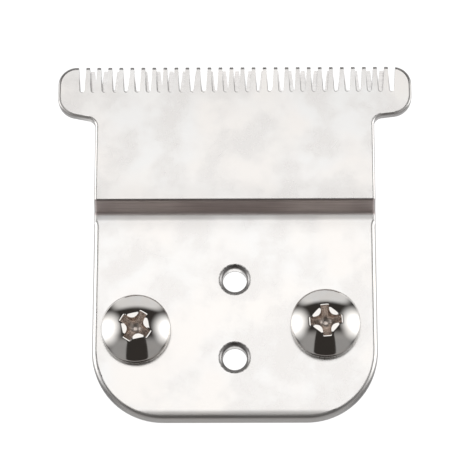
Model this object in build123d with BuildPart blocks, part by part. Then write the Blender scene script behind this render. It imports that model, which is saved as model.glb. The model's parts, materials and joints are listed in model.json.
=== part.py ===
"""Blade set of a hair trimmer: a bent comb blade, the cutter that slides behind it and two pan-head screws.

X runs along the tooth row, Y points at the tooth tips and Z is the normal of the front face.
The origin lies midway between the two centre holes, on the back of the mounting plate. All sizes are in mm.
"""

import os
from math import atan2, radians, sin, sqrt, tan

from build123d import *

# Comb blade: one steel sheet, stepped forward between the mounting plate and the tooth plate
sheet = 1.6
blade_width = 40.6
plate_width = 32.0
neck_width = 31.9
plate_end = 11.6
plate_corner_radius = 8.0
step_foot = 12.32
step_run = 1.12
step_rise = 1.6
flare_radius = 2.0
plate_edge_radius = 0.6
edge_exit_radius = 1.2
tooth_edge_radius = 0.35
bend_margin = 0.2
head_bend_margin = 0.02
tool_margin = 0.5

# Comb teeth: ground thinner than the sheet at the back, tapered, with round roots and round tips
tooth_sheet = 1.0
relief_clearance = 1.0
comb_teeth = 28
comb_reach = 29.5
comb_depth = 3.1
comb_tip_width = 0.42
comb_root_gap = 0.5
comb_tip_radius = 0.15
comb_tip_turn = 75.0
comb_tip_overrun = 0.01
row_shift = 0.27

# Wings beyond the last gaps: their lower edges are ground to slightly different slopes
wing_width = 1.885
wing_top_radius = 2.15
wing_low_radius = 2.3
armpit_radius = 1.0
left_wing_height = 5.57
left_wing_slope = 0.9
right_wing_height = 5.61
right_wing_slope = 0.55

# Holes of the comb
centre_hole = 2.7
centre_hole_spacing = 9.0
hole_lip_radius = 0.5
screw_inset = 5.4
screw_line = 1.07

# Cutter: a T-shaped plate on the back of the tooth plate
cutter_sheet = 1.3
cutter_pitch = 1.515
cutter_setback = 0.2
cutter_depth = 2.4
cutter_tip_width = 0.45
cutter_root_gap = 0.55
cutter_bar = 1.2
cutter_bevel_length = 2.0
cutter_bevel_depth = 0.7
stem_width = 26.0
stem_clearance = 2.6
stem_corner_radius = 1.5
drive_hole = 1.8
drive_hole_spacing = 7.0
drive_hole_inset = 2.6

# Pan-head screws with a cross recess
screw_thread = 4.0
screw_reach = 4.4
screw_point = 0.5
thread_depth = 0.3
head_bearing = 1.3
head_rim = 1.05
head_dome = 1.4
head_shoulder_radius = 0.4
recess_span = 4.2
recess_arm = 1.0
recess_corner_radius = 0.5
recess_depth = 1.7
recess_floor = 1.2
left_screw_turn = 58.0
right_screw_turn = 5.0

# Fits: the cutter's film of oil, the play of the screws in their holes and how much of it they use at rest
slide_gap = 0.02
screw_play = 0.6
rest_shift_share = 0.75
rest_skew_share = 0.5

# Places that follow from the sizes above
front_top = sheet + step_rise
step_lean = sheet * tan(atan2(step_rise, step_run) / 2)
step_back = step_foot + step_run + step_lean
relief_start = step_back + relief_clearance
tooth_back = front_top - tooth_sheet
bend_radius = tooth_edge_radius + bend_margin
head_bend_radius = tooth_edge_radius + head_bend_margin
edge_exit_run = sqrt(plate_edge_radius * (2 * edge_exit_radius - plate_edge_radius))
rounding_end = step_foot - bend_radius - edge_exit_run + edge_exit_radius
plate_half = plate_width / 2
tool_start = plate_half + 2 * edge_exit_radius
neck_half = neck_width / 2
wing_half = blade_width / 2
comb_pitch = (blade_width - 2 * wing_width) / (comb_teeth + 1)
left_wing_foot = comb_reach - left_wing_height
right_wing_foot = comb_reach - right_wing_height
comb_root = comb_reach - comb_depth
comb_mouth = (comb_pitch - comb_tip_width) / 2
comb_wall_end = comb_reach + comb_tip_overrun - comb_tip_radius * sin(radians(comb_tip_turn))
cutter_top = tooth_back - slide_gap
cutter_reach = comb_reach - cutter_setback
cutter_root = cutter_reach - cutter_depth
cutter_foot = cutter_root - cutter_bar
cutter_teeth = int(comb_teeth * comb_pitch / cutter_pitch)
cutter_mouth = (cutter_pitch - cutter_tip_width) / 2
stem_end = step_back + stem_clearance
screw_hole = screw_thread + 2 * screw_play
screw_neck = screw_thread - 2 * thread_depth
screw_length = sheet + screw_reach
head_diameter = screw_hole + 2 * head_bearing
head_top = head_rim + head_dome
screw_spacing = plate_width - 2 * screw_inset
rest_shift = rest_shift_share * screw_play
rest_skew = rest_skew_share * screw_play
left_screw_spot = (-screw_spacing / 2 - rest_shift, -screw_line - rest_skew, sheet)
right_screw_spot = (screw_spacing / 2 - rest_shift, -screw_line + rest_skew, sheet)

# Corners of the comb's blank, in order around it, each with its rounding
blank_corners = [
    (-plate_half, -plate_end, plate_corner_radius),
    (plate_half, -plate_end, plate_corner_radius),
    (plate_half, step_foot, flare_radius),
    (neck_half, step_foot + step_run, flare_radius),
    (neck_half, right_wing_foot - right_wing_slope, armpit_radius),
    (wing_half, right_wing_foot, wing_low_radius),
    (wing_half, comb_reach, wing_top_radius),
    (-wing_half, comb_reach, wing_top_radius),
    (-wing_half, left_wing_foot, wing_low_radius),
    (-neck_half, left_wing_foot - left_wing_slope, armpit_radius),
    (-neck_half, step_foot + step_run, flare_radius),
    (-plate_half, step_foot, flare_radius),
]

# One gap between two comb teeth: half of it is drawn and mirrored
with BuildSketch() as comb_gap:
    with BuildLine():
        root = JernArc((0, comb_root), (1, 0), comb_root_gap / 2, 90)
        wall = Line(root @ 1, (comb_mouth, comb_wall_end))
        tip = JernArc(wall @ 1, (0, 1), comb_tip_radius, -comb_tip_turn)
        mouth = Line(tip @ 1, tip @ 1 + Vector(0, comb_tip_radius))
        Line(mouth @ 1, (0, (mouth @ 1).Y))
        mirror(about=Plane.YZ)
    make_face()

# The tool that rounds the front edge of the mounting plate and swings clear of it below the step
with BuildPart() as edge_tool:
    with BuildLine():
        edge_path = FilletPolyline(
            (-tool_start, rounding_end, sheet),
            (-plate_half, rounding_end, sheet),
            (-plate_half, -plate_end, sheet),
            (plate_half, -plate_end, sheet),
            (plate_half, rounding_end, sheet),
            (tool_start, rounding_end, sheet),
            radius=[edge_exit_radius, plate_corner_radius, plate_corner_radius, edge_exit_radius],
        )
    with BuildSketch(Plane(edge_path @ 0, x_dir=(0, 1, 0), z_dir=edge_path % 0)):
        with BuildLine():
            rounding = RadiusArc((0, -plate_edge_radius), (plate_edge_radius, 0), plate_edge_radius)
            Polyline(
                rounding @ 1,
                (plate_edge_radius, tool_margin),
                (-tool_margin, tool_margin),
                (-tool_margin, -plate_edge_radius),
                rounding @ 0,
            )
        make_face()
    sweep(path=edge_path)

with BuildPart() as comb_blade:
    # The bent sheet seen from the side, run across the full span
    with BuildSketch(Plane.YZ):
        with BuildLine():
            front = FilletPolyline(
                (-plate_end, sheet),
                (step_foot, sheet),
                (step_foot + step_run, front_top),
                (comb_reach, front_top),
                radius=[bend_radius, head_bend_radius],
            )
            back = FilletPolyline(
                (comb_reach, tooth_back),
                (relief_start, tooth_back),
                (relief_start, step_rise),
                (step_back, step_rise),
                (step_foot + step_lean, 0),
                (-plate_end, 0),
                radius=[0, 0, bend_radius, bend_radius],
            )
            Line(front @ 1, back @ 0)
            Line(back @ 1, front @ 0)
        make_face()
    extrude(amount=wing_half, both=True)

    # The T-shaped outline of the blank
    with BuildSketch() as blank:
        with BuildLine():
            Polyline(*[(x, y) for x, y, rounding in blank_corners], close=True)
        make_face()
        for x, y, rounding in blank_corners:
            fillet(blank.vertices().sort_by_distance((x, y))[0], radius=rounding)
    extrude(amount=front_top, mode=Mode.INTERSECT)

    # The front edge: one smooth small rounding around the whole blade, then the larger one of the plate
    lower_edges = comb_blade.edges().filter_by(Axis.X).group_by(Axis.Y)[0]
    fillet(lower_edges.sort_by(Axis.Z)[-1], radius=tooth_edge_radius)
    add(edge_tool.part, mode=Mode.SUBTRACT)

    # The gaps between the teeth
    with BuildSketch():
        with Locations((row_shift, 0)):
            with GridLocations(comb_pitch, 1, comb_teeth + 1, 1):
                add(comb_gap.sketch)
    extrude(amount=front_top, mode=Mode.SUBTRACT)

    # The centre holes, with a rounded lip at the front
    with BuildSketch():
        with GridLocations(1, centre_hole_spacing, 1, 2):
            Circle(centre_hole / 2)
    extrude(amount=sheet, mode=Mode.SUBTRACT)
    hole_rims = comb_blade.edges().filter_by(GeomType.CIRCLE).filter_by(lambda e: e.is_closed)
    fillet(hole_rims.group_by(Axis.Z)[-1], radius=hole_lip_radius)

    # The oversize screw holes
    with BuildSketch():
        with Locations((0, -screw_line)):
            with GridLocations(screw_spacing, 1, 2, 1):
                Circle(screw_hole / 2)
    extrude(amount=sheet, mode=Mode.SUBTRACT)

# One gap between two cutter teeth
with BuildSketch() as cutter_gap:
    with BuildLine():
        root = JernArc((0, cutter_root), (1, 0), cutter_root_gap / 2, 90)
        mouth = Line(root @ 1, (cutter_mouth, cutter_reach))
        rise = Line(mouth @ 1, mouth @ 1 + Vector(0, cutter_tip_width))
        Line(rise @ 1, (0, (rise @ 1).Y))
        mirror(about=Plane.YZ)
    make_face()

with BuildPart() as cutter_blade:
    # The T-shaped plate: a bar for the teeth and a stem for the drive
    with BuildSketch(Plane.XY.offset(cutter_top)) as tee:
        with Locations((row_shift, cutter_reach)):
            Rectangle(
                cutter_teeth * cutter_pitch,
                cutter_depth + cutter_bar,
                align=(Align.CENTER, Align.MAX),
            )
            Rectangle(stem_width, cutter_reach - stem_end, align=(Align.CENTER, Align.MAX))
        fillet(tee.vertices().group_by(Axis.Y)[0], radius=stem_corner_radius)
    extrude(amount=-cutter_sheet)

    # The ground bevel behind the teeth
    tip_face = cutter_blade.faces().sort_by(Axis.Y)[-1]
    chamfer(
        tip_face.edges().sort_by(Axis.Z)[0],
        length=cutter_bevel_depth,
        length2=cutter_bevel_length,
        reference=tip_face,
    )

    # The gaps between the teeth
    with BuildSketch():
        with Locations((row_shift, 0)):
            with GridLocations(cutter_pitch, 1, cutter_teeth + 1, 1):
                add(cutter_gap.sketch)
    extrude(amount=cutter_top, mode=Mode.SUBTRACT)

    # The two holes for the fingers of the trimmer's drive arm
    with BuildSketch():
        with Locations((row_shift, stem_end + drive_hole_inset)):
            with GridLocations(drive_hole_spacing, 1, 2, 1):
                Circle(drive_hole / 2)
    extrude(amount=cutter_top, mode=Mode.SUBTRACT)

# The cross recess as a solid: a cross-shaped prism kept inside a cone
with BuildPart() as recess:
    with BuildSketch(Plane.XY.offset(head_top)) as cross:
        Rectangle(recess_span, recess_arm)
        Rectangle(recess_arm, recess_span)
        inner_corners = cross.vertices().group_by(lambda v: round(v.center().length, 3))[0]
        fillet(inner_corners, radius=recess_corner_radius)
    extrude(amount=-recess_depth)
    with Locations((0, 0, head_top)):
        Cone(
            recess_floor / 2,
            recess_span / 2,
            recess_depth,
            align=(Align.CENTER, Align.CENTER, Align.MAX),
            mode=Mode.INTERSECT,
        )

# The screw that both copies share, with the underside of its head at Z = 0
with BuildPart() as pan_screw:
    with BuildSketch(Plane.XZ):
        with BuildLine():
            shank = Polyline(
                (0, head_top),
                (0, -screw_length),
                (screw_thread / 2 - screw_point, -screw_length),
                (screw_thread / 2, screw_point - screw_length),
                (screw_thread / 2, -sheet),
                (screw_neck / 2, -sheet),
                (screw_neck / 2, 0),
                (head_diameter / 2, 0),
                (head_diameter / 2, head_rim),
            )
            TangentArc(shank @ 0, shank @ 1, tangent=(1, 0))
        make_face()
    revolve(axis=Axis.Z)
    head_rings = pan_screw.edges().filter_by(GeomType.CIRCLE).filter_by(lambda e: e.is_closed)
    fillet(head_rings.sort_by(Axis.Z)[-1], radius=head_shoulder_radius)
    add(recess.part, mode=Mode.SUBTRACT)

with BuildPart() as left_screw:
    with Locations(Location(left_screw_spot, (0, 0, left_screw_turn))):
        add(pan_screw.part)

with BuildPart() as right_screw:
    with Locations(Location(right_screw_spot, (0, 0, right_screw_turn))):
        add(pan_screw.part)

os.makedirs("parts", exist_ok=True)

comb_blade.part.label = "comb_blade"
export_step(comb_blade.part, "parts/comb_blade.step")

cutter_blade.part.label = "cutter_blade"
export_step(cutter_blade.part, "parts/cutter_blade.step")

left_screw.part.label = "left_screw"
export_step(left_screw.part, "parts/left_screw.step")

right_screw.part.label = "right_screw"
export_step(right_screw.part, "parts/right_screw.step")
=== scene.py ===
# %% [markdown]
# # Blade set of a hair trimmer
# The real thing is a stepped steel comb blade, a toothed cutter that slides behind it, and two pan-head
# screws that hold it on a trimmer. The solids come from the CAD pack, which loads first and never moves.
# This lesson sets up the camera, the table and the lights, gives the steel its finish, and builds threaded
# screws where the solids have plain ones.

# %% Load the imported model
import json
from math import copysign, cos, hypot, pi, radians, sin, sqrt, tan

import bmesh
import bpy
from mathutils import Matrix, Vector


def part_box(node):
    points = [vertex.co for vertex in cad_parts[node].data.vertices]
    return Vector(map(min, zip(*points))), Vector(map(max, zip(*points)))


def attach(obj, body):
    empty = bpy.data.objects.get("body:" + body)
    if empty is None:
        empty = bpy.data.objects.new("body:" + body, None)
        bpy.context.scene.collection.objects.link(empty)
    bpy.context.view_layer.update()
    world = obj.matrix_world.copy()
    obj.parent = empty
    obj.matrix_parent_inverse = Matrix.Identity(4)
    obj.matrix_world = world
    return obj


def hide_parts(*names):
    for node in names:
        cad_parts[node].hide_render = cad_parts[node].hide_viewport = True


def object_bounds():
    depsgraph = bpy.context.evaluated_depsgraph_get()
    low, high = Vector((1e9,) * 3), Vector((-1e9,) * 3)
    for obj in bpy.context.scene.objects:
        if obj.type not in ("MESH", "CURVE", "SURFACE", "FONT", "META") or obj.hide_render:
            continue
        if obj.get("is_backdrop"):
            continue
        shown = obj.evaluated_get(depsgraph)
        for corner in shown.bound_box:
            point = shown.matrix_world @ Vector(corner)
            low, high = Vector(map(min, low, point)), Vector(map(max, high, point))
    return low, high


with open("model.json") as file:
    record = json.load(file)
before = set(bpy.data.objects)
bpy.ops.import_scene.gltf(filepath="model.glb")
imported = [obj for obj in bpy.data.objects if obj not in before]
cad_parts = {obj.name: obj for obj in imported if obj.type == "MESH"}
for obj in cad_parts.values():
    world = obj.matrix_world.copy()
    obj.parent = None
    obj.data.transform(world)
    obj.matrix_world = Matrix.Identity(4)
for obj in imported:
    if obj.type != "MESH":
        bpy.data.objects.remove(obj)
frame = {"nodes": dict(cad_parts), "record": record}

cad_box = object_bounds()
MM = 0.001
for name in sorted(frame["nodes"]):
    low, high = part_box(name)
    print(name, "measures", [round(side / MM, 2) for side in high - low], "mm")

# %% [markdown]
# ## The camera
# The blade was photographed from above with a long lens, 16.5 degrees off square, so that the walls facing
# the camera show as thin strips. Looking almost straight down, a track constraint would twist the picture,
# so the camera's three axes are built from the line to the aim point and from +Y, which is up in the picture.

# %% Camera
aim_point = Vector((0.03, 9.56, 2.16)) * MM
camera_spot = Vector((2.41, -60.47, 238.6)) * MM
film_width, focal_length, nearest_seen = 36, 167.07, 0.01
camera_data = bpy.data.cameras.new("camera")
camera_data.sensor_width = film_width
camera_data.lens = focal_length
camera_data.clip_start = nearest_seen
camera = bpy.data.objects.new("camera", camera_data)
camera.location = camera_spot
backward = (camera_spot - aim_point).normalized()
sideways = Vector((0, 1, 0)).cross(backward).normalized()
camera.rotation_euler = Matrix((sideways, backward.cross(sideways), backward)).transposed().to_euler()
bpy.context.scene.collection.objects.link(camera)
bpy.context.scene.camera = camera
print("camera is", round((aim_point - camera_spot).length / MM, 1), "mm from the blade")

# %% [markdown]
# ## Helpers for shader nodes
# Every material below is a small graph. Placing each node takes the same three steps, making it, setting its
# options and filling its inputs, so one function does them. An input is either a plain value or another
# node's output, which gets a link. Short functions on top of it do arithmetic, so that a mask reads like a
# formula: a mask is a number from 0 to 1 that says how much of a mark a spot carries.

# %% Node helper
def add_node(tree, kind, inputs=None, **options):
    """Adds a node of a kind; inputs maps a socket's name or number to a value or to another node's output."""
    made = tree.nodes.new(kind)
    for option, value in options.items():
        setattr(made, option, value)
    for socket, value in (inputs or {}).items():
        if isinstance(value, bpy.types.NodeSocket):
            tree.links.new(value, made.inputs[socket])
        else:
            made.inputs[socket].default_value = value
    return made


print("node helper ready")

# %% Numbers and masks
def math_node(tree, operation, *values):
    """One arithmetic step, and its result."""
    return add_node(tree, "ShaderNodeMath", dict(enumerate(values)), operation=operation).outputs[0]


def multiply(tree, first, *others):
    """The product of some values: of masks, what all of them cover."""
    for other in others:
        first = math_node(tree, "MULTIPLY", first, other)
    return first


def largest(tree, first, *others):
    """The largest of some values: of masks, what any of them covers."""
    for other in others:
        first = math_node(tree, "MAXIMUM", first, other)
    return first


def ramp_between(tree, value, start, end, low=0.0, high=1.0):
    """A smooth change from low to high while the value goes from start to end."""
    return add_node(
        tree,
        "ShaderNodeMapRange",
        {"Value": value, 1: start, 2: end, 3: low, 4: high},
        interpolation_type="SMOOTHSTEP",
    ).outputs["Result"]


def mix_value(tree, share, first, second):
    """A number between two others, the second one where the share is 1."""
    return add_node(tree, "ShaderNodeMix", {0: share, 2: first, 3: second}).outputs[0]


print("arithmetic ready")

# %% Vectors, colours and noise
def split(tree, vector):
    """The X, Y and Z of a vector."""
    return add_node(tree, "ShaderNodeSeparateXYZ", {0: vector}).outputs[:]


def distance(tree, x, y):
    """Length of a step in the plane."""
    step = add_node(tree, "ShaderNodeCombineXYZ", {"X": x, "Y": y}).outputs[0]
    return add_node(tree, "ShaderNodeVectorMath", {0: step}, operation="LENGTH").outputs["Value"]


def scale_parts(tree, vector, factors):
    """A vector or a colour times another one, part by part."""
    return add_node(
        tree, "ShaderNodeVectorMath", {0: vector, 1: factors}, operation="MULTIPLY"
    ).outputs[0]


def mix_colour(tree, share, first, second):
    """A colour between two others, the second one where the share is 1."""
    return add_node(tree, "ShaderNodeMix", {0: share, 6: first, 7: second}, data_type="RGBA").outputs[2]


def noise(tree, place, scale, detail, roughness=0.5):
    """Soft noise that wanders around one half."""
    inputs = {"Vector": place, "Scale": scale, "Detail": detail, "Roughness": roughness}
    return add_node(tree, "ShaderNodeTexNoise", inputs).outputs["Fac"]


print("vectors, colours and noise ready")

# %% [markdown]
# ## Light table and dark studio
# Small bright parts are shot on a lit table, so the background goes white and no shadow falls. The table
# here glows just below white and also takes a little light from above, which leaves a faint contact shadow.
# To the steel it glows less towards the front, because the walls of the lower end look darker. Looked at
# from below it is clear, so that the back of the blade can be seen. The room around it is dark: polished
# steel shows what it mirrors, and its dark lines need something dark.

# %% Light table
table_gap, table_reach = 0.05 * MM, 3.0
table_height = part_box("left_screw")[0].z - table_gap
table_mesh = bpy.data.meshes.new("light_table")
sheet = bmesh.new()
bmesh.ops.create_grid(sheet, x_segments=1, y_segments=1, size=table_reach)
bmesh.ops.translate(sheet, verts=sheet.verts, vec=(0, 0, table_height))
sheet.to_mesh(table_mesh)
sheet.free()
table = bpy.data.objects.new("light_table", table_mesh)
bpy.context.scene.collection.objects.link(table)
table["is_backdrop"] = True
print("light table at", round(table_height / MM, 2), "mm")

# %% Lit acrylic
glow_to_camera = 0.95
dim_glow, dim_until = 0.22, -14 * MM
full_glow, full_from = 0.8, 2 * MM
acrylic = bpy.data.materials.new("lit_acrylic")
acrylic.use_nodes = True
tree = acrylic.node_tree
shader = tree.nodes["Principled BSDF"]
shader.inputs["Base Color"].default_value = (0.3, 0.3, 0.3, 1)
shader.inputs["Roughness"].default_value = 0.9
shader.inputs["Specular IOR Level"].default_value = 0.0
shader.inputs["Emission Color"].default_value = (1, 1, 1, 1)
seen_by_camera = add_node(tree, "ShaderNodeLightPath").outputs["Is Camera Ray"]
table_y = split(tree, add_node(tree, "ShaderNodeTexCoord").outputs["Object"])[1]
glow_to_steel = ramp_between(tree, table_y, dim_until, full_from, dim_glow, full_glow)
glow = mix_value(tree, seen_by_camera, glow_to_steel, glow_to_camera)
tree.links.new(glow, shader.inputs["Emission Strength"])
from_below = add_node(tree, "ShaderNodeNewGeometry").outputs["Backfacing"]
clear_share = multiply(tree, seen_by_camera, from_below)
clear = add_node(tree, "ShaderNodeBsdfTransparent")
surface = add_node(
    tree, "ShaderNodeMixShader", {0: clear_share, 1: shader.outputs[0], 2: clear.outputs[0]}
)
tree.links.new(surface.outputs[0], tree.nodes["Material Output"].inputs["Surface"])
table_mesh.materials.append(acrylic)
print("acrylic glows at", glow_to_camera, "to the camera")

# %% Dark room
dark_colour, pale_colour = (0.037, 0.033, 0.03, 1), (1, 1, 1, 1)
room = bpy.data.worlds.new("dark_studio")
room.use_nodes = True
bpy.context.scene.world = room
tree = room.node_tree
tree.nodes.clear()
seen_by_camera = add_node(tree, "ShaderNodeLightPath").outputs["Is Camera Ray"]
dark_wall = add_node(tree, "ShaderNodeBackground", {"Color": dark_colour, "Strength": 1.0})
pale_wall = add_node(tree, "ShaderNodeBackground", {"Color": pale_colour, "Strength": 1.0})
wall = add_node(
    tree, "ShaderNodeMixShader", {0: seen_by_camera, 1: dark_wall.outputs[0], 2: pale_wall.outputs[0]}
)
add_node(tree, "ShaderNodeOutputWorld", {"Surface": wall.outputs[0]})
bpy.context.scene.view_settings.view_transform = "Standard"
print("room is dark to the steel and pale to the camera")

# %% [markdown]
# ## Light cards
# A softbox is a glowing card. Each one is a flat grid placed by compass direction and height as seen from
# the blade and turned to face it. Its glow fades towards a rounded edge as real fabric does, and it lets
# the light of cards behind it through, so that neighbours blend. The cards are hidden from the camera and
# stay in the reflections. Together they draw the look of the photograph: a white sheet overhead for the
# flat faces, white windows left and right, a grey wall behind, and dim grey in front, split by the dark
# shape of the camera on its stand.

# %% Card shape
card_distance = 0.6


def place_card(name, direction, half_x, half_y):
    """A flat card that faces the blade; direction is its azimuth from +X and its elevation, in degrees."""
    mesh = bpy.data.meshes.new(name)
    grid = bmesh.new()
    bmesh.ops.create_grid(grid, x_segments=1, y_segments=1, size=1.0)
    bmesh.ops.scale(grid, verts=grid.verts, vec=(half_x, half_y, 1))
    grid.to_mesh(mesh)
    grid.free()
    azimuth, elevation = (radians(angle) for angle in direction)
    level = cos(elevation)
    away = Vector((cos(azimuth) * level, sin(azimuth) * level, sin(elevation)))
    card = bpy.data.objects.new(name, mesh)
    card.location = aim_point + card_distance * away
    card.rotation_euler = away.to_track_quat("Z", "Y").to_euler()
    card.visible_camera = False
    bpy.context.scene.collection.objects.link(card)
    card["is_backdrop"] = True
    return card


print("cards stand", card_distance, "m from the blade")

# %% Card glow
gap_blur = 1.15


def light_card(name, direction, size, glow, fade, power=2.0, gap=0.0, colour=(1, 1, 1)):
    """A glowing card. Its size and gap are in degrees, seen from the blade. The glow fades out from a share
    of the size, its outline goes from oval to square with the power, and a gap leaves the middle dark."""
    half_x, half_y, half_gap = (card_distance * tan(radians(angle / 2)) for angle in (*size, gap))
    glowing = bpy.data.materials.new(name)
    glowing.use_nodes = True
    tree = glowing.node_tree
    tree.nodes.clear()
    place = split(tree, add_node(tree, "ShaderNodeTexCoord").outputs["Object"])
    across, along = (math_node(tree, "ABSOLUTE", part) for part in place[:2])
    share_x = math_node(tree, "POWER", math_node(tree, "DIVIDE", across, half_x), power)
    share_y = math_node(tree, "POWER", math_node(tree, "DIVIDE", along, half_y), power)
    outward = math_node(tree, "POWER", math_node(tree, "ADD", share_x, share_y), 1 / power)
    strength = ramp_between(tree, outward, fade, 1.0, glow, 0.0)
    if gap:
        strength = multiply(tree, strength, ramp_between(tree, across, half_gap, gap_blur * half_gap))
    light = add_node(tree, "ShaderNodeEmission", {"Color": (*colour, 1), "Strength": strength})
    clear = add_node(tree, "ShaderNodeBsdfTransparent")
    both = add_node(tree, "ShaderNodeAddShader", {0: light.outputs[0], 1: clear.outputs[0]})
    add_node(tree, "ShaderNodeOutputMaterial", {"Surface": both.outputs[0]})
    place_card(name, direction, half_x, half_y).data.materials.append(glowing)
    print("card", name, "glows at", glow)


print("a gap in a card blurs over", round(gap_blur - 1, 2), "of its half width")

# %% Cards around the blade
light_card("overhead_card", direction=(90, 77), size=(48, 38), glow=1.13, fade=0.55, power=4)
light_card("left_window", direction=(170, 22), size=(72, 82), glow=2.0, fade=0.0)
light_card("right_window", direction=(10, 22), size=(72, 82), glow=2.0, fade=0.0)
light_card("back_wall", direction=(90, 10), size=(92, 60), glow=0.74, fade=0.55, power=3)
light_card("front_card", direction=(270, 42), size=(130, 86), glow=0.3, fade=0.45, power=4, gap=41)
rosy = (1.0, 0.86, 0.83)
light_card("low_front_card", direction=(270, 5), size=(120, 16), glow=0.18, fade=0.6, power=4, colour=rosy)

# %% [markdown]
# ## Finishes that several metals share
# Sheet steel that was tumbled and polished isn't even: the gloss drifts in soft clouds with a warm or cool
# cast. Grinding leaves fine lines along the stroke, and handling leaves hairline scratches. Each effect is
# one node group with its own inputs, so that every metal uses the same graph with other values. Positions
# are in millimetres, from the Object coordinates that stay with each piece when it moves.

# %% Group helper
FLOAT, VECTOR, COLOUR = "NodeSocketFloat", "NodeSocketVector", "NodeSocketColor"


def new_group(name, inputs, outputs):
    """An empty shader group; inputs and outputs map a socket's label to its type."""
    group = bpy.data.node_groups.new(name, "ShaderNodeTree")
    for label, kind in inputs.items():
        group.interface.new_socket(label, in_out="INPUT", socket_type=kind)
    for label, kind in outputs.items():
        group.interface.new_socket(label, in_out="OUTPUT", socket_type=kind)
    entry = group.nodes.new("NodeGroupInput")
    exit_node = group.nodes.new("NodeGroupOutput")
    print("group", name, "has", len(inputs), "inputs")
    return group, entry.outputs, exit_node.inputs


def use_group(tree, group, inputs):
    """Puts a group into a material, fills its inputs and returns its outputs."""
    return add_node(tree, "ShaderNodeGroup", inputs, node_tree=group).outputs


print("group helper ready")

# %% Soft clouds of gloss
soft_clouds, given, result = new_group(
    "soft_clouds",
    {"Place": VECTOR, "Size": FLOAT, "Warm": COLOUR, "Cool": COLOUR, "Dim": COLOUR},
    {"Colour": COLOUR, "Cloud": FLOAT},
)
finer = 1.9
cast_low, cast_high = 0.38, 0.62
shade_low, shade_high = 0.35, 0.68
cast_scale = math_node(soft_clouds, "DIVIDE", 1.0, given["Size"])
shade_scale = multiply(soft_clouds, cast_scale, finer)
cast = noise(soft_clouds, given["Place"], cast_scale, detail=2.0)
shade = noise(soft_clouds, given["Place"], shade_scale, detail=4.0, roughness=0.55)
cast_share = ramp_between(soft_clouds, cast, cast_low, cast_high)
shade_share = ramp_between(soft_clouds, shade, shade_low, shade_high)
tinted = mix_colour(soft_clouds, cast_share, given["Warm"], given["Cool"])
dimmed = mix_colour(soft_clouds, shade_share, tinted, given["Dim"])
soft_clouds.links.new(dimmed, result["Colour"])
soft_clouds.links.new(shade_share, result["Cloud"])

# %% Lines along the stroke
faint, strong = 0.3, 0.7
ground_lines, given, result = new_group(
    "ground_lines", {"Place": VECTOR, "Length": FLOAT, "Spacing": FLOAT}, {"Lines": FLOAT}
)
lengthwise = math_node(ground_lines, "DIVIDE", 1.0, given["Length"])
crosswise = math_node(ground_lines, "DIVIDE", 1.0, given["Spacing"])
stretch = add_node(
    ground_lines, "ShaderNodeCombineXYZ", {"X": lengthwise, "Y": crosswise, "Z": crosswise}
)
stretched = scale_parts(ground_lines, given["Place"], stretch.outputs[0])
streaks = noise(ground_lines, stretched, scale=1.0, detail=3.0, roughness=0.6)
ground_lines.links.new(ramp_between(ground_lines, streaks, faint, strong), result["Lines"])

# %% Hairline scratches
scratch_turns, scratch_from, scratch_full = (20, 75, 130), 0.68, 0.74
hairlines, given, result = new_group(
    "hairlines", {"Place": VECTOR, "Length": FLOAT, "Width": FLOAT}, {"Scratches": FLOAT}
)
thin = math_node(hairlines, "DIVIDE", 1.0, given["Width"])
long = math_node(hairlines, "DIVIDE", 1.0, given["Length"])
squeeze = add_node(hairlines, "ShaderNodeCombineXYZ", {"X": long, "Y": thin, "Z": long})
marks = []
for turn in scratch_turns:
    turned = add_node(
        hairlines,
        "ShaderNodeVectorRotate",
        {"Vector": given["Place"], "Axis": (0, 0, 1), "Angle": radians(turn)},
        rotation_type="AXIS_ANGLE",
    )
    drawn = scale_parts(hairlines, turned.outputs[0], squeeze.outputs[0])
    wander = noise(hairlines, drawn, scale=1.0, detail=1.0)
    marks.append(ramp_between(hairlines, wander, scratch_from, scratch_full))
hairlines.links.new(largest(hairlines, *marks), result["Scratches"])

# %% [markdown]
# ## Comb steel
# The comb is bright stainless sheet, almost a mirror, with clouds in its gloss. What makes it look real are
# the marks of its making, dull cut edges and streaks and soft bends where the step was pressed, and painted
# shade: dark colour on the cut edges and the lips around the holes, a painted reflection of the step below
# it, and painted shadow lines beside the teeth. They could be painted on a picture, but a picture needs
# unwrapping and stays sharp at one scale only. Here each mark is a mask, worked out from where a spot is on
# the blade and which way its face looks, so that it follows the shape by itself.

# %% Metal helpers
def new_metal(name):
    """A fully metallic material, its graph and shader, and the Object coordinates in millimetres."""
    made = bpy.data.materials.new(name)
    made.use_nodes = True
    tree = made.node_tree
    shader = tree.nodes["Principled BSDF"]
    shader.inputs["Metallic"].default_value = 1.0
    place = add_node(tree, "ShaderNodeTexCoord").outputs["Object"]
    return made, tree, shader, scale_parts(tree, place, (1 / MM,) * 3)


def dress(node_name, material):
    """Gives a CAD node its material."""
    node = frame["nodes"][node_name]
    node.data.materials.clear()
    node.data.materials.append(material)
    print(material.name, "is on", node.name)


print("metal helpers ready")

# %% Comb steel: sheet
comb_low, comb_high = (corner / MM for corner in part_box("comb_blade"))
comb_steel, tree, shader, place = new_metal("comb_steel")
clouds = use_group(
    tree,
    soft_clouds,
    {
        "Place": place,
        "Size": 8.0,
        "Warm": (0.955, 0.925, 0.895, 1),
        "Cool": (0.935, 0.93, 0.92, 1),
        "Dim": (0.937, 0.914, 0.894, 1),
    },
)
scratches = use_group(tree, hairlines, {"Place": place, "Length": 4.0, "Width": 0.05})
across, along, up = split(tree, place)
face_x, face_y, face_z = split(tree, add_node(tree, "ShaderNodeTexCoord").outputs["Normal"])
print("comb reaches from", round(comb_low.y, 2), "to", round(comb_high.y, 2), "mm")
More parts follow.
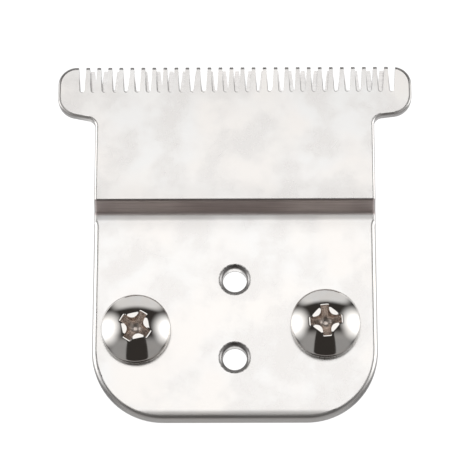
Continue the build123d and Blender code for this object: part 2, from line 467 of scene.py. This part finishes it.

# %% [markdown]
# ### Cut edges and painted shade
# Tumbling rounds the edges and leaves them duller than the faces. Their dark colour is painted shade, and so
# is the darker colour of the walls that face left and right. In the photograph the edges are dark at the
# wings and show a thin line at the lower corners. A face's normal tells the rounding apart: its Z is 1 on the
# flat front and falls to 0 on a wall, and its Y tells an edge that faces the tips from one that faces the
# lower end. The limits of these ramps are such shares of the normal.

# %% Comb steel: cut edges and painted shade
wing_foot, wing_blur = comb_high.y - 6.9, 1.0
corner_start, corner_full, corner_share = -4.0, -9.0, 0.6
level, sloping, rounded, half_round, leaning = 0.985, 0.94, 0.88, 0.75, 0.45
tilted = ramp_between(tree, face_z, level, sloping)
steep = ramp_between(tree, face_z, half_round, leaning)
forward_edge = multiply(tree, tilted, ramp_between(tree, face_y, 0.0, 0.2))
rear_edge = multiply(tree, steep, ramp_between(tree, face_y, -0.2, -0.6))
edge_line = multiply(tree, tilted, ramp_between(tree, face_z, half_round, rounded))
side_line = multiply(tree, edge_line, ramp_between(tree, face_y, -0.35, -0.1))
on_wings = ramp_between(tree, along, wing_foot, wing_foot + wing_blur)
wing_edges = multiply(tree, largest(tree, forward_edge, rear_edge, side_line), on_wings)
rear_line = multiply(tree, math_node(tree, "SUBTRACT", edge_line, side_line), on_wings)
at_corners = ramp_between(tree, along, corner_start, corner_full, 0.0, corner_share)
corner_line = multiply(tree, edge_line, at_corners)
# Painted shade: walls that face left or right get a darker colour.
to_side = ramp_between(tree, math_node(tree, "ABSOLUTE", face_x), 0.4, 0.7)
painted_side_wall_shade = multiply(tree, ramp_between(tree, face_z, 0.7, 0.5), to_side)
print("wings start at", round(wing_foot, 2), "mm")

# %% [markdown]
# ### Hole lips
# Punching leaves a rounded lip at the front of each centre hole and a sharp edge at its back, and both look
# dark in the photograph. Their dark colour is painted shade. The distance from the nearer hole limits the
# mask to them.

# %% Comb steel: hole lips
mount_sizes = {mount["name"]: mount["dims"] for mount in frame["record"]["mounts"]}
hole_offset = mount_sizes["centre_holes"]["spacing_y_mm"] / 2
lip_reach, lip_blur, side_share = 2.1, 0.2, 0.6
back_edge_top, back_edge_full = 0.3, 0.15
past_hole = math_node(tree, "SUBTRACT", math_node(tree, "ABSOLUTE", along), hole_offset)
from_hole = distance(tree, across, past_hole)
to_ends = ramp_between(tree, math_node(tree, "ABSOLUTE", face_y), 0.0, 0.5, side_share, 1.0)
on_lips = multiply(tree, ramp_between(tree, from_hole, lip_reach, lip_reach - lip_blur), to_ends)
lip_round = multiply(tree, tilted, ramp_between(tree, face_z, 0.05, 0.3))
hole_wall = ramp_between(tree, face_z, -0.5, -0.2)
back_edge = multiply(tree, hole_wall, ramp_between(tree, up, back_edge_top, back_edge_full))
# Painted shade on the lip and the back edge of each hole.
lip_edges = multiply(tree, largest(tree, lip_round, back_edge), on_lips)
# The dark colour on all these edges is painted shade; the roughness they add is the dull tumbled edge.
dull_edges_and_painted_shade = largest(tree, wing_edges, lip_edges, corner_line)
print("holes are", hole_offset, "mm from the origin")

# %% [markdown]
# ### Pressed step
# The press drew the step out of the sheet and left streaks along it. Just below the step the sheet darkens,
# painted shade that stands for the step's reflection, and just above it the tone also darkens towards the
# step. The foot and the rounded lower end are worn.

# %% Comb steel: pressed step
step_foot, step_middle, step_head = 12.0, 12.9, 13.6
foot_blur, head_blur = 0.3, 0.2
lower_tone, middle_tone, tone_from, tone_to = 0.985, 1.005, -9.0, 3.0
foot_dim, foot_fade = 0.86, 2.4
head_dim, head_bright, head_from, head_to = 0.885, 0.95, step_head + 0.4, step_head + 2.9
lines = use_group(tree, ground_lines, {"Place": place, "Length": 5.0, "Spacing": 0.12})
on_front = math_node(tree, "GREATER_THAN", face_z, 0.0)
past_foot = ramp_between(tree, along, step_foot, step_foot + foot_blur)
before_head = ramp_between(tree, along, step_head, step_head - head_blur)
on_step = multiply(tree, on_front, past_foot, before_head)
pressed = multiply(tree, on_step, lines["Lines"])
above_step = math_node(tree, "GREATER_THAN", along, step_middle)
below_step = math_node(tree, "SUBTRACT", 1.0, above_step)
plate_tone = ramp_between(tree, along, tone_from, tone_to, lower_tone, middle_tone)
# Painted shade below the step, standing for its reflection in the sheet.
painted_foot_shade = ramp_between(tree, along, step_foot - foot_fade, step_foot, 1.0, foot_dim)
head_tone = ramp_between(tree, along, head_from, head_to, head_dim, head_bright)
painted_foot_shade = largest(tree, painted_foot_shade, above_step)
head_tone = largest(tree, head_tone, below_step)
# The plate's tones times the painted shade below the step.
tone_and_painted_shade = multiply(tree, plate_tone, painted_foot_shade, head_tone)
print("step runs from", step_foot, "to", step_head, "mm")

# %% Comb steel: wear
wear_start, wear_full, wear_last, wear_gone = (step_foot + past for past in (-0.7, -0.2, 0.3, 0.5))
end_full, end_gone = comb_low.y + 0.7, comb_low.y + 1.3
near_foot = ramp_between(tree, along, wear_start, wear_full)
off_step = ramp_between(tree, along, wear_last, wear_gone, 1.0, 0.0)
at_end = ramp_between(tree, along, end_gone, end_full)
worn = largest(tree, multiply(tree, near_foot, off_step), at_end, rear_line)
print("comb steel has", len(tree.nodes), "nodes so far")

# %% [markdown]
# ### Ground back
# The tooth plate is ground thin from behind, where the cutter slides on it. The wheel leaves lines along the
# tooth row, on every face that looks back from that height.

# %% Comb steel: ground back
looking_back, ground_above = -0.9, 2.0
wheel = use_group(tree, ground_lines, {"Place": place, "Length": 6.0, "Spacing": 0.09})
on_back = math_node(tree, "LESS_THAN", face_z, looking_back)
ground = multiply(tree, on_back, math_node(tree, "GREATER_THAN", up, ground_above), wheel["Lines"])
print("ground faces lie above", ground_above, "mm")

# %% [markdown]
# ### Painted shadow lines
# A thin dark line of painted shadow runs along one flank of every tooth and around the root. A strip could
# be modelled for each, but a formula does them all: the place along the row is folded into one tooth pitch,
# the gap's half width grows from the round root to the mouth, and the distance to that wall makes the mask.
# It is kept to one flank and fades before the tip.

# %% Comb steel: painted shadow lines
tooth_pitch, row_shift, row_half = 1.27, 0.27, 14.6
root_half, mouth_half, tooth_depth = 0.25, 0.425, 3.1
shadow_full, shadow_end, shadow_dark = 0.03, 0.08, 0.85
root_out, root_in, fade_start, fade_end = -0.06, -0.03, 0.3, 0.75
other_flank, this_flank = -0.15, 0.05
root_line = comb_high.y - tooth_depth
cycle = math_node(tree, "DIVIDE", math_node(tree, "SUBTRACT", across, row_shift), tooth_pitch)
to_gap = math_node(tree, "SUBTRACT", 0.5, math_node(tree, "FRACT", math_node(tree, "ADD", cycle, 0.5)))
to_gap = multiply(tree, to_gap, tooth_pitch)
height = math_node(tree, "DIVIDE", math_node(tree, "SUBTRACT", along, root_line), tooth_depth)
gap_half = math_node(tree, "MULTIPLY_ADD", height, mouth_half - root_half, root_half)
below_round = math_node(tree, "SUBTRACT", along, root_line + root_half)
below_round = math_node(tree, "MINIMUM", below_round, 0.0)
to_flank = math_node(tree, "SUBTRACT", distance(tree, to_gap, below_round), gap_half)
# A painted shadow line along one flank of each tooth and around the root.
painted_flank_shadow = multiply(
    tree,
    ramp_between(tree, to_flank, shadow_full, shadow_end, 1.0, 0.0),
    ramp_between(tree, height, root_out, root_in),
    ramp_between(tree, height, fade_start, fade_end, shadow_dark, 0.0),
    ramp_between(tree, to_gap, other_flank, this_flank),
    math_node(tree, "LESS_THAN", math_node(tree, "ABSOLUTE", cycle), row_half),
)
print("gaps are", 2 * root_half, "mm wide at the root and", 2 * mouth_half, "mm at the mouth")

# %% [markdown]
# ### Colour, gloss and relief
# The masks now lay their stains and painted shade over the clouds, one after another, and add to the
# roughness. The real sheet rises into the step and falls off at its lower end more gently than the solid's
# small roundings do, by 0.15 mm at most. That shows in a mirror and nowhere else, so it is a height for a
# bump, eased in as a slow curve and then straight.

# %% Comb steel: colour and gloss
streak_share, step_gloss = 0.45, 0.36
colour = scale_parts(tree, clouds["Colour"], tone_and_painted_shade)
# The side walls, the cut edges and the flank lines lay painted shade; the other rows are stains.
for share, stain_and_painted_shade in (
    (on_step, (0.86, 0.77, 0.745, 1)),
    (multiply(tree, pressed, streak_share), (0.5, 0.44, 0.42, 1)),
    (painted_side_wall_shade, (0.42, 0.41, 0.405, 1)),
    (dull_edges_and_painted_shade, (0.33, 0.32, 0.315, 1)),
    (painted_flank_shadow, (0.2, 0.19, 0.185, 1)),
    (ground, (0.66, 0.645, 0.635, 1)),
):
    colour = mix_colour(tree, share, colour, stain_and_painted_shade)
gloss = ramp_between(tree, clouds["Cloud"], 0.0, 1.0, 0.235, 0.275)
gloss = mix_value(tree, on_step, gloss, step_gloss)
for share, rougher in ((scratches["Scratches"], 0.02), (dull_edges_and_painted_shade, 0.12), (worn, 0.16), (ground, 0.1)):
    gloss = math_node(tree, "MULTIPLY_ADD", share, rougher, gloss)
tree.links.new(colour, shader.inputs["Base Color"])
tree.links.new(gloss, shader.inputs["Roughness"])
print("comb steel has", len(tree.nodes), "nodes so far")

# %% Comb steel: relief
def eased_bend(tree, past, reach, radius):
    """Height of a gentle bend: flat before its start, round up to the reach past it, and straight after."""
    inside = math_node(tree, "MAXIMUM", past, 0.0)
    beyond = math_node(tree, "MAXIMUM", math_node(tree, "SUBTRACT", past, reach), 0.0)
    square = multiply(tree, inside, inside)
    return math_node(
        tree, "DIVIDE", math_node(tree, "SUBTRACT", square, multiply(tree, beyond, beyond)), 2 * radius
    )


foot_reach, foot_radius, foot_start = 0.9, 7.2, step_foot - 0.8
end_reach, end_radius, end_start = 0.65, 3.6, comb_low.y + 1.17
streak_height = 2.0
past_start = math_node(tree, "MINIMUM", math_node(tree, "SUBTRACT", along, foot_start), foot_reach)
foot_bend = eased_bend(tree, past_start, foot_reach, foot_radius)
end_bend = eased_bend(tree, math_node(tree, "SUBTRACT", end_start, along), end_reach, end_radius)
bends = multiply(tree, on_front, math_node(tree, "SUBTRACT", foot_bend, end_bend))
grain = noise(tree, place, scale=6.0, detail=2.0)
relief = math_node(tree, "MULTIPLY_ADD", pressed, streak_height, grain)
fine = add_node(tree, "ShaderNodeBump", {"Height": relief, "Strength": 0.05, "Distance": 0.02 * MM})
bent = add_node(
    tree, "ShaderNodeBump", {"Height": bends, "Strength": 1.0, "Distance": MM, "Normal": fine.outputs[0]}
)
tree.links.new(bent.outputs[0], shader.inputs["Normal"])
dress("comb_blade", comb_steel)

# %% [markdown]
# ## Cutter steel
# The cutter is harder steel, ground flat on both faces. The wheel runs along the tooth row, so its lines do
# too, and they make the gloss change from line to line.

# %% Cutter steel
cutter_steel, tree, shader, place = new_metal("cutter_steel")
clouds = use_group(
    tree,
    soft_clouds,
    {
        "Place": place,
        "Size": 8.0,
        "Warm": (0.87, 0.84, 0.825, 1),
        "Cool": (0.855, 0.85, 0.845, 1),
        "Dim": (0.84, 0.82, 0.805, 1),
    },
)
lines = use_group(tree, ground_lines, {"Place": place, "Length": 6.0, "Spacing": 0.06})
scratches = use_group(tree, hairlines, {"Place": place, "Length": 3.0, "Width": 0.04})
gloss = ramp_between(tree, lines["Lines"], 0.0, 1.0, 0.19, 0.25)
gloss = math_node(tree, "MULTIPLY_ADD", scratches["Scratches"], 0.06, gloss)
tree.links.new(clouds["Colour"], shader.inputs["Base Color"])
tree.links.new(gloss, shader.inputs["Roughness"])
bump = add_node(
    tree, "ShaderNodeBump", {"Height": lines["Lines"], "Strength": 0.04, "Distance": 0.01 * MM}
)
tree.links.new(bump.outputs[0], shader.inputs["Normal"])
dress("cutter_blade", cutter_steel)

# %% [markdown]
# ## Screw: the cross recess and the dome
# The head is a shallow dome with a cross punched into it. Cutting the cross out with a boolean would leave
# long thin faces that ripple in a mirror finish. Instead the cross comes first: a grid of nine cells loses
# its corner cells, a bevel cuts its inner corners straight and rounds its outer ones, and its edge becomes
# the lip. A circle around it becomes the rim, a bridge joins the two, and the bridge's rings are lifted onto
# the dome.

# %% Screw sizes
head_radius, head_rim, head_dome = 3.9, 1.05, 1.4
shoulder_bevel, foot_bevel = 0.19, 0.12
neck_radius, neck_length = 1.7, 1.6
screw_length, tip_chamfer = 6.0, 0.5
cross_reach, cross_arm = 1.85, 1.12
web_cut, arm_round, ledge = 0.95, 0.2, 0.1
recess_mouth, recess_floor, recess_depth = 2.1, 0.6, 1.7
head_top = head_rim + head_dome
dome_radius = (head_radius**2 + head_dome**2) / (2 * head_dome)


def from_axis(vert):
    """Distance of a vertex from the screw's axis."""
    return hypot(vert.co.x, vert.co.y)


def dome_height(radius):
    """Height of the dome above the underside of the head, at a distance from the axis."""
    return head_top - dome_radius + sqrt(dome_radius**2 - radius**2)


def round_off(bm, geom, offset, segments, affect):
    """A bevel of edges or of corners: flat with one segment and round with more."""
    bmesh.ops.bevel(
        bm, geom=geom, offset=offset, offset_type="OFFSET", segments=segments, profile=0.5,
        affect=affect, material=-1, clamp_overlap=True,
    )


print("dome radius", round(dome_radius, 2), "mm")

# %% Cross outline
side_cuts, short_edge = 7, 0.3
screw = bmesh.new()
recess_mark = screw.verts.layers.float.new("recess")
bmesh.ops.create_grid(screw, x_segments=3, y_segments=3, size=cross_reach)
for vert in screw.verts:
    for axis in (0, 1):
        if abs(vert.co[axis]) < cross_reach / 2:
            vert.co[axis] = copysign(cross_arm / 2, vert.co[axis])
middles = {face: face.calc_center_median() for face in screw.faces}
corner_cells = [face for face, middle in middles.items() if min(abs(middle.x), abs(middle.y)) > cross_arm / 2]
bmesh.ops.delete(screw, geom=corner_cells, context="FACES")
bmesh.ops.dissolve_faces(screw, faces=screw.faces[:])
inner_corners = [vert for vert in screw.verts if from_axis(vert) < cross_arm]
round_off(screw, inner_corners, web_cut, segments=1, affect="VERTICES")
outer_corners = [vert for vert in screw.verts if from_axis(vert) > cross_reach]
round_off(screw, outer_corners, arm_round, segments=4, affect="VERTICES")
arm_sides = [edge for edge in screw.edges if edge.calc_length() > short_edge]
bmesh.ops.subdivide_edges(screw, edges=arm_sides, cuts=side_cuts)
screw.faces.ensure_lookup_table()
cross = screw.faces[0]
lip = cross.edges[:]
print("cross outline has", len(lip), "edges")

# %% Dome
dome_rings = 9


def lift_onto_dome(verts):
    """Sets vertices on the dome, each at its distance from the axis."""
    for vert in verts:
        vert.co.z = dome_height(from_axis(vert))


lift_onto_dome(screw.verts)
rim_verts = bmesh.ops.create_circle(screw, cap_ends=False, segments=len(lip), radius=head_radius)["verts"]
bmesh.ops.translate(screw, verts=rim_verts, vec=(0, 0, head_rim))
rim = list({edge for vert in rim_verts for edge in vert.link_edges})
spokes = bmesh.ops.bridge_loops(screw, edges=lip + rim)["edges"]
print("longest spoke", round(max(edge.calc_length() for edge in spokes), 2), "mm")
bmesh.ops.subdivide_edges(screw, edges=spokes, cuts=dome_rings, use_grid_fill=True)
lift_onto_dome(screw.verts)

# %% Wall, underside and neck
def extrude_ring(bm, ring, height=None, radius=None):
    """Extrudes a ring of edges, to a height and a radius if given, and returns its vertices and edges."""
    made = bmesh.ops.extrude_edge_only(bm, edges=ring)["geom"]
    verts = [item for item in made if isinstance(item, bmesh.types.BMVert)]
    for vert in verts:
        if height is not None:
            vert.co.z = height
        if radius is not None:
            vert.co.xy *= radius / from_axis(vert)
    edges = [item for item in made if isinstance(item, bmesh.types.BMEdge)]
    return verts, [edge for edge in edges if all(vert in verts for vert in edge.verts)]


lower_rim = extrude_ring(screw, rim, 0.0)[1]
seat_ring = extrude_ring(screw, lower_rim, 0.0, neck_radius)[1]
neck_ring = extrude_ring(screw, seat_ring, -neck_length)[1]
round_off(screw, rim, shoulder_bevel, segments=5, affect="EDGES")
round_off(screw, lower_rim, foot_bevel, segments=2, affect="EDGES")
print("head has", len(screw.faces), "faces so far, and its neck ends in", len(neck_ring), "edges")

# %% [markdown]
# ## Screw: the walls of the recess
# The punch leaves a narrow bright ledge around the cross, made by insetting the cross and lowering it a
# little. It is widest at the four webs between the arms, where its inner edge bulges towards the middle.
# From there the walls go down ring by ring, each ring drawn in to the cone of the punch. They carry an
# attribute, because the plating inside a recess stays dull and gets painted shade.

# %% Ledge around the recess
ledge_flat, ledge_drop = 1.4, 0.04
web_share, web_bulge, same = 0.85, 0.3, 0.01


def close_webs(bm, verts, arm, share, bulge=0.0):
    """Draws each web between two arms in towards the corner where they meet, and bulges it to the middle."""
    for x in (-arm / 2, arm / 2):
        for y in (-arm / 2, arm / 2):
            web = [
                vert for vert in verts
                if vert.co.x * x > 0 and vert.co.y * y > 0
                and min(abs(vert.co.x), abs(vert.co.y)) > arm / 2 - same
                and max(abs(vert.co.x), abs(vert.co.y)) < (cross_arm / 2 + web_cut) * (1 + same)
            ]
            corner = Matrix.Translation((-x, -y, 0))
            bmesh.ops.scale(bm, verts=web, vec=(share, share, 1), space=corner)
            middle = sum((vert.co.xy for vert in web), Vector((0, 0))) / len(web)
            half_length = max((vert.co.xy - middle).length for vert in web)
            for vert in web:
                outward = (vert.co.xy - middle).length / half_length
                vert.co.xy -= bulge * (1 - outward**2) * middle.normalized()


bmesh.ops.inset_region(screw, faces=[cross], thickness=ledge, use_even_offset=True)
ring_verts, ring = cross.verts[:], cross.edges[:]
inner_arm = cross_arm - 2 * ledge
close_webs(screw, ring_verts, inner_arm, web_share, web_bulge)
for vert in ring_verts:
    vert.co.z = dome_height(max(from_axis(vert), ledge_flat)) - ledge_drop
bmesh.ops.delete(screw, geom=[cross], context="FACES_ONLY")
print("ledge has", len(ring), "inner edges")

# %% Recess
lip_bevel, lip_drop, lip_share = 0.05, 0.05, 0.9
floor_dip, floor_tip = 0.1, 0.15
ring_depths = (0.75, 1.1, 1.4, recess_depth)


def draw_in(verts):
    """Marks a ring as recess and draws it in to the cone of the punch."""
    for vert in verts:
        vert[recess_mark] = 1.0
        share = (head_top - vert.co.z) / recess_depth
        wall_radius = recess_mouth + (recess_floor - recess_mouth) * share
        vert.co.xy *= min(1.0, wall_radius / from_axis(vert))


ring_verts, ring = extrude_ring(screw, ring)
bmesh.ops.translate(screw, verts=ring_verts, vec=(0, 0, -lip_drop))
close_webs(screw, ring_verts, inner_arm, lip_share)
draw_in(ring_verts)
for depth in ring_depths:
    ring_verts, ring = extrude_ring(screw, ring, head_top - depth)
    draw_in(ring_verts)
floor_verts, floor_ring = extrude_ring(screw, ring, head_top - recess_depth - floor_dip, floor_tip)
for vert in floor_verts:
    vert[recess_mark] = 1.0
bmesh.ops.contextual_create(screw, geom=floor_ring)
round_off(screw, lip, lip_bevel, segments=2, affect="EDGES")
print("recess goes down to", round(head_top - recess_depth, 2), "mm above the underside")

# %% [markdown]
# ## Screw: the thread
# A thread is one small profile, a ridge and a bit of root, spun around the axis while it climbs one pitch
# per turn. Neighbouring turns meet edge on edge, so merging doubles closes them into one skin. Two plane
# cuts trim it to length. The start is eased into the neck and the tip is chamfered, as a die leaves them.

# %% Thread
pitch, root_radius, crest_radius = 0.7, 1.62, 1.99
crest_start, crest_end, ridge_end = 0.26, 0.36, 0.62
turns, turn_steps, weld = 8, 40, 0.001
neck_overlap, start_ease = 0.05, 0.5
ridge = (
    (root_radius, 0.0),
    (crest_radius, crest_start),
    (crest_radius, crest_end),
    (root_radius, ridge_end),
    (root_radius, pitch),
)
thread = bmesh.new()
ridge_verts = [thread.verts.new((radius, 0, height - screw_length - pitch)) for radius, height in ridge]
ridge_edges = [thread.edges.new(pair) for pair in zip(ridge_verts, ridge_verts[1:])]
bmesh.ops.spin(
    thread, geom=ridge_verts + ridge_edges, cent=(0, 0, 0), axis=(0, 0, 1), angle=2 * pi * turns,
    dvec=(0, 0, pitch / turn_steps), steps=turns * turn_steps,
)
bmesh.ops.remove_doubles(thread, verts=thread.verts, dist=weld)
thread_start = -neck_length - neck_overlap
for cut, side in ((thread_start, 1), (-screw_length, -1)):
    skin = thread.verts[:] + thread.edges[:] + thread.faces[:]
    bmesh.ops.bisect_plane(
        thread, geom=skin, plane_co=(0, 0, cut), plane_no=(0, 0, side), clear_outer=True
    )
for vert in thread.verts:
    eased = min(1.0, (thread_start - vert.co.z) / start_ease)
    radius = neck_radius + (from_axis(vert) - neck_radius) * eased
    radius = min(radius, crest_radius - tip_chamfer + vert.co.z + screw_length)
    vert.co.xy *= radius / from_axis(vert)
print("thread has", len(thread.faces), "faces")

# %% Join thread and head
thread_mesh = bpy.data.meshes.new("thread")
thread.to_mesh(thread_mesh)
thread.free()
screw.from_mesh(thread_mesh)
bpy.data.meshes.remove(thread_mesh)
open_edges = [edge for edge in screw.edges if edge.is_boundary]
tip_ring = [edge for edge in open_edges if all(vert.co.z < weld - screw_length for vert in edge.verts)]
bmesh.ops.bridge_loops(screw, edges=[edge for edge in open_edges if edge not in tip_ring])
bmesh.ops.holes_fill(screw, edges=tip_ring, sides=0)
bmesh.ops.recalc_face_normals(screw, faces=screw.faces)
for face in screw.faces:
    face.smooth = True
print("screw has", len(screw.faces), "faces and", sum(edge.is_boundary for edge in screw.edges), "open edges")

# %% [markdown]
# ## Screw plating
# The screws are nickel plated, a warm mirror with a few hairlines from handling. In the recess the punched
# walls stay rough, so the attribute set on the recess makes the metal duller there and mixes in a brown that
# is painted shade.

# %% Screw plating
painted_recess_shade = (0.72, 0.64, 0.585, 1)
screw_plating, tree, shader, place = new_metal("screw_plating")
inside = add_node(tree, "ShaderNodeAttribute", attribute_name="recess").outputs["Fac"]
clouds = use_group(
    tree,
    soft_clouds,
    {
        "Place": place,
        "Size": 3.0,
        "Warm": (0.84, 0.81, 0.775, 1),
        "Cool": (0.8, 0.79, 0.775, 1),
        "Dim": (0.8, 0.775, 0.745, 1),
    },
)
scratches = use_group(tree, hairlines, {"Place": place, "Length": 2.0, "Width": 0.03})
gloss = ramp_between(tree, clouds["Cloud"], 0.0, 1.0, 0.06, 0.09)
for share, rougher in ((scratches["Scratches"], 0.03), (inside, 0.2)):
    gloss = math_node(tree, "MULTIPLY_ADD", share, rougher, gloss)
# The brown mixed into the recess is painted shade.
tree.links.new(mix_colour(tree, inside, clouds["Colour"], painted_recess_shade), shader.inputs["Base Color"])
tree.links.new(gloss, shader.inputs["Roughness"])
pits = multiply(tree, noise(tree, place, scale=9.0, detail=3.0), inside)
bump = add_node(tree, "ShaderNodeBump", {"Height": pits, "Strength": 0.3, "Distance": 0.03 * MM})
tree.links.new(bump.outputs[0], shader.inputs["Normal"])
print("plating has", len(tree.nodes), "nodes")

# %% [markdown]
# ## The two screws in place
# Both screws are one shape. Each copy is turned as its real screw stopped, set on the middle of its CAD node
# and shown instead of it. The turning and moving happen in the mesh, so the objects stay at the origin.

# %% Screws in place
sharp_from = radians(38)


def place_screw(name, node, turn):
    """A copy of the screw at the place of a CAD node."""
    low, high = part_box(node)
    middle = (low + high) / 2
    seat = Vector((middle.x, middle.y, low.z + screw_length * MM))
    copy = screw.copy()
    bmesh.ops.scale(copy, verts=copy.verts, vec=(MM, MM, MM))
    bmesh.ops.rotate(copy, verts=copy.verts, matrix=Matrix.Rotation(radians(turn), 3, "Z"))
    bmesh.ops.translate(copy, verts=copy.verts, vec=seat)
    mesh = bpy.data.meshes.new(name)
    copy.to_mesh(mesh)
    copy.free()
    mesh.set_sharp_from_angle(angle=sharp_from)
    mesh.materials.append(screw_plating)
    piece = bpy.data.objects.new(name, mesh)
    bpy.context.scene.collection.objects.link(piece)
    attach(piece, "comb")
    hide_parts(node)
    print(name, "sits at", [round(value / MM, 2) for value in seat], "mm")


place_screw("left_pan_head_screw", "left_screw", turn=58)
place_screw("right_pan_head_screw", "right_screw", turn=5)
screw.free()

# %% [markdown]
# ## Check and finish
# The corners of the visible model's box are compared with those of the solids' box, and how far each one
# moved is printed. The visible model must stay inside the box of the solids.

# %% Finish
visual_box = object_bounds()
for solid, visible in zip(cad_box, visual_box):
    print("corner moved by", [round((new - old) / MM, 3) for new, old in zip(visible, solid)], "mm")
